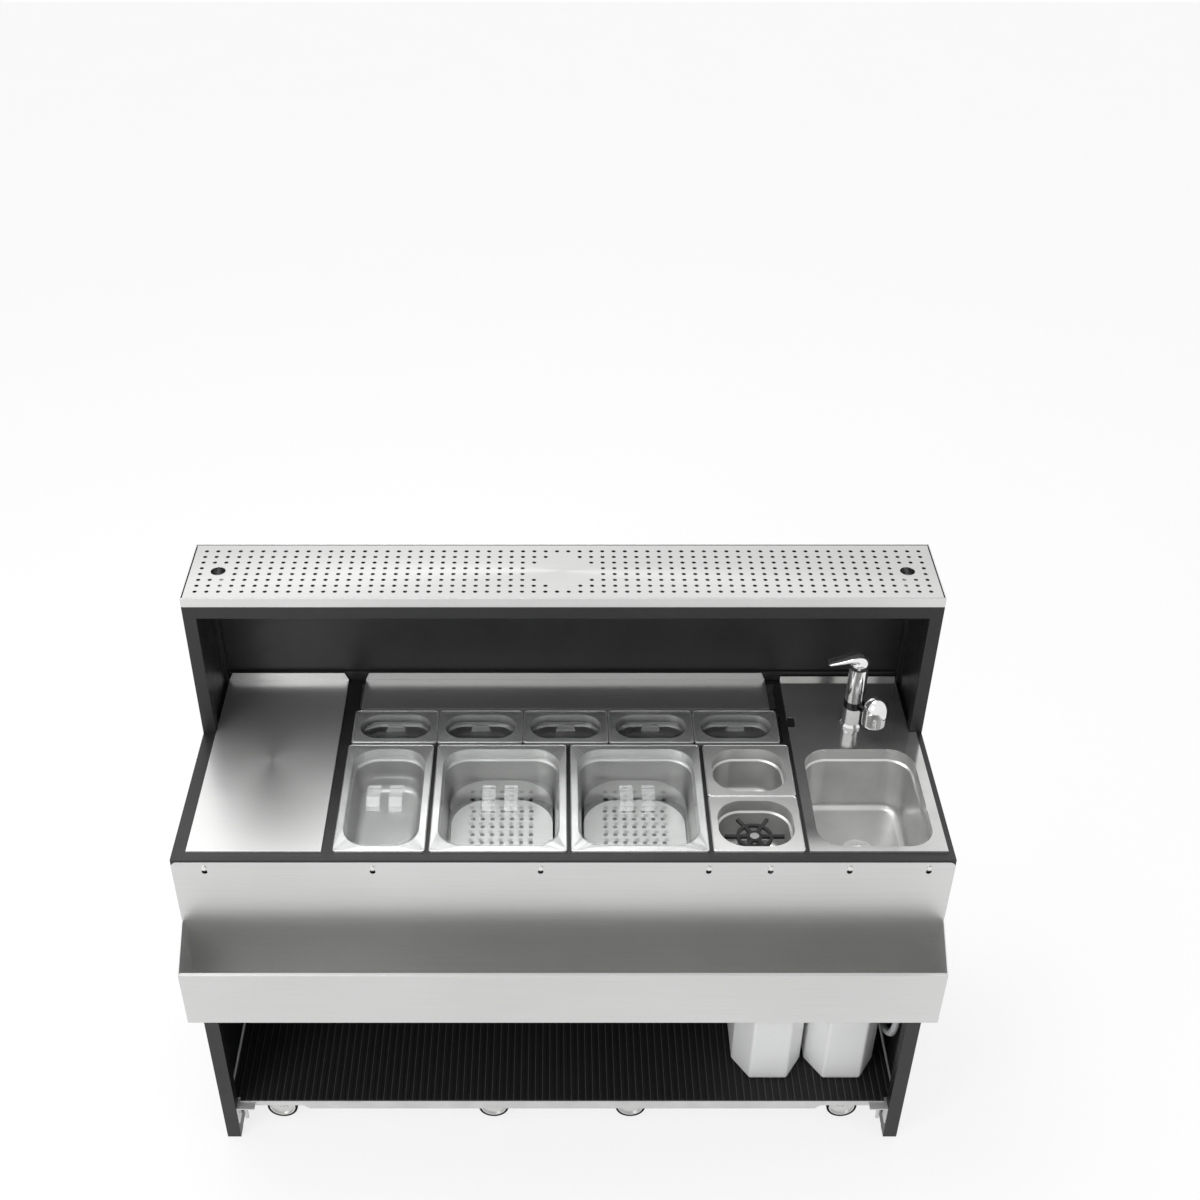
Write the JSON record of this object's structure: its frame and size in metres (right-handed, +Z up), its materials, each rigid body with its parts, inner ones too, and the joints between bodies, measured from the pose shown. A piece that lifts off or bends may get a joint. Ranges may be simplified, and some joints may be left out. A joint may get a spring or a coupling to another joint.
{
  "type": "portable bar",
  "caption": "Portable bar station with black tube frame, stainless worktop, lidded pans, sink and tap, rear gantry with drip plate, speed rail, wheeled shelf and water cans.",
  "frame": {"origin": "floor level under the middle of the whole bar's bounding box", "axes": "X to the right as seen by the bartender, along the bar; Y away from the bartender; Z up"},
  "size_m": [1.5, 0.687, 1.18],
  "materials": {
    "satin_black": "satin black powder coat",
    "stainless": "fine brushed stainless steel sheet",
    "pan_steel": "drawn stainless steel with polished rim",
    "chrome": "polished chrome",
    "clear_plastic": "clear moulded polycarbonate",
    "black_plastic": "black moulded plastic",
    "black_rubber": "ribbed black rubber",
    "tyre_rubber": "black rubber tyre",
    "grey_metal": "pale grey sheet",
    "wheel_metal": "pale turned disc",
    "zinc": "zinc plated screw",
    "white_plastic": "white translucent moulded plastic",
    "cap_plastic": "white screw cap",
    "hose_plastic": "grey smooth hose"
  },
  "bodies": {
    "frame": {"left_end_frame": "satin_black", "right_end_frame": "satin_black", "left_side_panel": "satin_black", "right_side_panel": "satin_black", "foot_caps": "black_plastic", "top_frame": "satin_black", "customer_panel": "satin_black", "hanger_screws": "zinc", "sink_unit": "stainless", "sink_drain": "pan_steel", "tap_column": "chrome", "rinser_pan": "pan_steel", "rinser_base": "pan_steel", "shelf_tray": "grey_metal", "shelf_mat": "black_rubber", "right_can": "white_plastic", "right_can_cap": "cap_plastic", "drain_hose": "hose_plastic"},
    "gantry": {"gantry_left_cheek": "satin_black", "gantry_right_cheek": "satin_black", "gantry_beams": "satin_black", "gantry_back_panel": "satin_black", "drip_tray": "stainless"},
    "drip_plate": {"drip_plate": "stainless"},
    "speed_rail": {"speed_rail": "stainless"},
    "worktop_plate": {"worktop_plate": "stainless"},
    "bottle_deck": {"bottle_deck": "stainless"},
    "third_pan": {"third_pan": "pan_steel"},
    "third_lid": {"third_lid": "clear_plastic"},
    "sixth_pan": {"sixth_pan": "pan_steel"},
    "half_pan_left": {"half_pan_left": "pan_steel", "drain_plate_left": "pan_steel"},
    "half_lid_left": {"half_lid_left": "clear_plastic"},
    "half_pan_right": {"half_pan_right": "pan_steel", "drain_plate_right": "pan_steel"},
    "half_lid_right": {"half_lid_right": "clear_plastic"},
    "rinser_star": {"rinser_star": "black_plastic"},
    "tap_spout": {"tap_spout": "chrome"},
    "tap_cartridge": {"tap_cartridge": "chrome"},
    "tap_lever": {"tap_lever": "chrome"},
    "left_can": {"left_can": "white_plastic"},
    "left_can_cap": {"left_can_cap": "cap_plastic"},
    "ninth_pan_1": {"ninth_pan_1": "pan_steel"},
    "ninth_lid_1": {"ninth_lid_1": "clear_plastic"},
    "ninth_pan_2": {"ninth_pan_2": "pan_steel"},
    "ninth_lid_2": {"ninth_lid_2": "clear_plastic"},
    "ninth_pan_3": {"ninth_pan_3": "pan_steel"},
    "ninth_lid_3": {"ninth_lid_3": "clear_plastic"},
    "ninth_pan_4": {"ninth_pan_4": "pan_steel"},
    "ninth_lid_4": {"ninth_lid_4": "clear_plastic"},
    "ninth_pan_5": {"ninth_pan_5": "pan_steel"},
    "ninth_lid_5": {"ninth_lid_5": "clear_plastic"},
    "wheelset_1": {"wheelset_1": "wheel_metal", "tyres_1": "tyre_rubber"},
    "wheelset_2": {"wheelset_2": "wheel_metal", "tyres_2": "tyre_rubber"},
    "wheelset_3": {"wheelset_3": "wheel_metal", "tyres_3": "tyre_rubber"},
    "wheelset_4": {"wheelset_4": "wheel_metal", "tyres_4": "tyre_rubber"}
  },
  "joints": [
    {"name": "gantry_lift", "type": "slide", "parent": "frame", "child": "gantry", "axis": [0, 0, 1], "range_m": [0, 0.15]},
    {"name": "drip_plate_lift", "type": "slide", "parent": "gantry", "child": "drip_plate", "axis": [0, 0, 1], "range_m": [0, 0.04]},
    {"name": "speed_rail_lift", "type": "slide", "parent": "frame", "child": "speed_rail", "axis": [0, 0, 1], "range_m": [0, 0.01]},
    {"name": "worktop_plate_lift", "type": "slide", "parent": "frame", "child": "worktop_plate", "axis": [0, 0, 1], "range_m": [0, 0.04]},
    {"name": "bottle_deck_lift", "type": "slide", "parent": "frame", "child": "bottle_deck", "axis": [0, 0, 1], "range_m": [0, 0.06]},
    {"name": "third_pan_lift", "type": "slide", "parent": "frame", "child": "third_pan", "axis": [0, 0, 1], "range_m": [0, 0.12]},
    {"name": "third_lid_lift", "type": "slide", "parent": "third_pan", "child": "third_lid", "axis": [0, 0, 1], "range_m": [0, 0.08]},
    {"name": "half_pan_left_lift", "type": "slide", "parent": "frame", "child": "half_pan_left", "axis": [0, 0, 1], "range_m": [0, 0.16]},
    {"name": "half_lid_left_lift", "type": "slide", "parent": "half_pan_left", "child": "half_lid_left", "axis": [0, 0, 1], "range_m": [0, 0.08]},
    {"name": "half_pan_right_lift", "type": "slide", "parent": "frame", "child": "half_pan_right", "axis": [0, 0, 1], "range_m": [0, 0.16]},
    {"name": "half_lid_right_lift", "type": "slide", "parent": "half_pan_right", "child": "half_lid_right", "axis": [0, 0, 1], "range_m": [0, 0.08]},
    {"name": "sixth_pan_lift", "type": "slide", "parent": "frame", "child": "sixth_pan", "axis": [0, 0, 1], "range_m": [0, 0.12]},
    {"name": "ninth_pan_1_lift", "type": "slide", "parent": "frame", "child": "ninth_pan_1", "axis": [0, 0, 1], "range_m": [0, 0.09]},
    {"name": "ninth_lid_1_lift", "type": "slide", "parent": "ninth_pan_1", "child": "ninth_lid_1", "axis": [0, 0, 1], "range_m": [0, 0.08]},
    {"name": "ninth_pan_2_lift", "type": "slide", "parent": "frame", "child": "ninth_pan_2", "axis": [0, 0, 1], "range_m": [0, 0.09]},
    {"name": "ninth_lid_2_lift", "type": "slide", "parent": "ninth_pan_2", "child": "ninth_lid_2", "axis": [0, 0, 1], "range_m": [0, 0.08]},
    {"name": "ninth_pan_3_lift", "type": "slide", "parent": "frame", "child": "ninth_pan_3", "axis": [0, 0, 1], "range_m": [0, 0.09]},
    {"name": "ninth_lid_3_lift", "type": "slide", "parent": "ninth_pan_3", "child": "ninth_lid_3", "axis": [0, 0, 1], "range_m": [0, 0.08]},
    {"name": "ninth_pan_4_lift", "type": "slide", "parent": "frame", "child": "ninth_pan_4", "axis": [0, 0, 1], "range_m": [0, 0.09]},
    {"name": "ninth_lid_4_lift", "type": "slide", "parent": "ninth_pan_4", "child": "ninth_lid_4", "axis": [0, 0, 1], "range_m": [0, 0.08]},
    {"name": "ninth_pan_5_lift", "type": "slide", "parent": "frame", "child": "ninth_pan_5", "axis": [0, 0, 1], "range_m": [0, 0.09]},
    {"name": "ninth_lid_5_lift", "type": "slide", "parent": "ninth_pan_5", "child": "ninth_lid_5", "axis": [0, 0, 1], "range_m": [0, 0.08]},
    {"name": "rinser_press", "type": "slide", "parent": "frame", "child": "rinser_star", "axis": [0, 0, -1], "range_m": [0, 0.006], "stiffness_N_per_m": 400, "springref_m": -0.004},
    {"name": "tap_spout_swivel", "type": "hinge", "parent": "frame", "child": "tap_spout", "pos_m": [0.605, 0.1695, 0.907], "axis": [0, 0, 1], "range_deg": [-60, 60]},
    {"name": "tap_mix", "type": "hinge", "parent": "frame", "child": "tap_cartridge", "pos_m": [0.605, 0.1695, 0.99], "axis": [0, 0, 1], "range_deg": [-40, 40]},
    {"name": "tap_open", "type": "hinge", "parent": "tap_cartridge", "child": "tap_lever", "pos_m": [0.605, 0.1695, 1.009], "axis": [0, 1, 0], "range_deg": [0, 18]},
    {"name": "wheelset_1_roll", "type": "hinge", "parent": "frame", "child": "wheelset_1", "pos_m": [-0.63, 0.0485, 0.039], "axis": [0, 1, 0], "continuous": true},
    {"name": "wheelset_2_roll", "type": "hinge", "parent": "frame", "child": "wheelset_2", "pos_m": [-0.154, 0.0485, 0.039], "axis": [0, 1, 0], "continuous": true},
    {"name": "wheelset_3_roll", "type": "hinge", "parent": "frame", "child": "wheelset_3", "pos_m": [0.154, 0.0485, 0.039], "axis": [0, 1, 0], "continuous": true},
    {"name": "wheelset_4_roll", "type": "hinge", "parent": "frame", "child": "wheelset_4", "pos_m": [0.63, 0.0485, 0.039], "axis": [0, 1, 0], "continuous": true},
    {"name": "left_can_pull", "type": "slide", "parent": "frame", "child": "left_can", "axis": [0, -1, 0], "range_m": [0, 0.2]},
    {"name": "left_can_cap_turn", "type": "hinge", "parent": "left_can", "child": "left_can_cap", "pos_m": [0.4605, -0.1045, 0.41], "axis": [0, 0, 1], "range_deg": [0, 540]}
  ]
}
